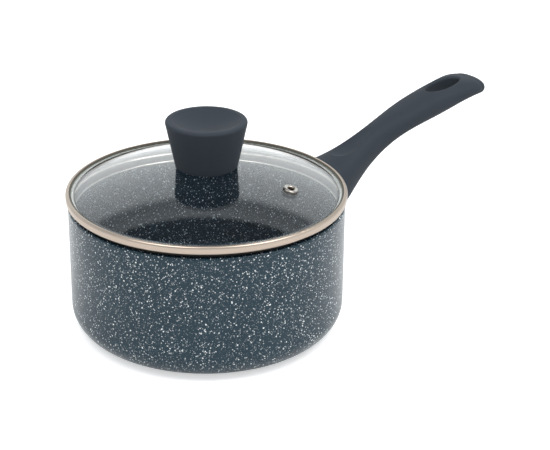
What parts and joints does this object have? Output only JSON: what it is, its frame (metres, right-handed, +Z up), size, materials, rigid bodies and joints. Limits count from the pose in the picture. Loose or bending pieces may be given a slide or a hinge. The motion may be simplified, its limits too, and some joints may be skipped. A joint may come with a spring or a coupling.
{
  "type": "saucepan with glass lid",
  "caption": "Straight-sided saucepan with a speckled coating, an upswept handle with a hanging slot, and a domed glass lid in a steel band with a knob and a steam vent.",
  "frame": {"origin": "on the pan's axis, at the plane it stands on", "axes": "+X out along the handle, +Z up, the way the lid lifts off"},
  "size_m": [0.3497, 0.1894, 0.1467],
  "materials": {
    "coated_aluminium": "satin stone-effect non-stick coating, slate with pale flecks",
    "cast_aluminium": "as cast",
    "plain_steel": "bright, plain",
    "band_steel": "satin, rolled",
    "clear_glass": "clear tempered",
    "soft_touch": "fine matt, soft to the touch",
    "brass": "knurled",
    "silicone": "translucent"
  },
  "bodies": {
    "pan": {"pan_body": "coated_aluminium", "base_plate": "plain_steel", "bracket_studs": "plain_steel", "handle_bracket": "cast_aluminium", "bracket_nuts": "plain_steel", "handle": "soft_touch", "handle_lock_washer": "plain_steel", "handle_screw": "plain_steel"},
    "lid": {"lid_band": "band_steel", "lid_glass": "clear_glass", "band_sealant": "silicone", "vent_eyelet": "band_steel", "vent_washer": "plain_steel", "knob": "soft_touch", "knob_insert": "brass", "knob_gasket": "silicone", "glass_bush": "silicone", "knob_washer": "plain_steel", "knob_lock_washer": "plain_steel", "knob_screw": "plain_steel"}
  },
  "joints": [
    {"name": "lid_lift", "type": "slide", "parent": "pan", "child": "lid", "axis": [0, 0, 1], "range_m": [0, 0.15]}
  ]
}
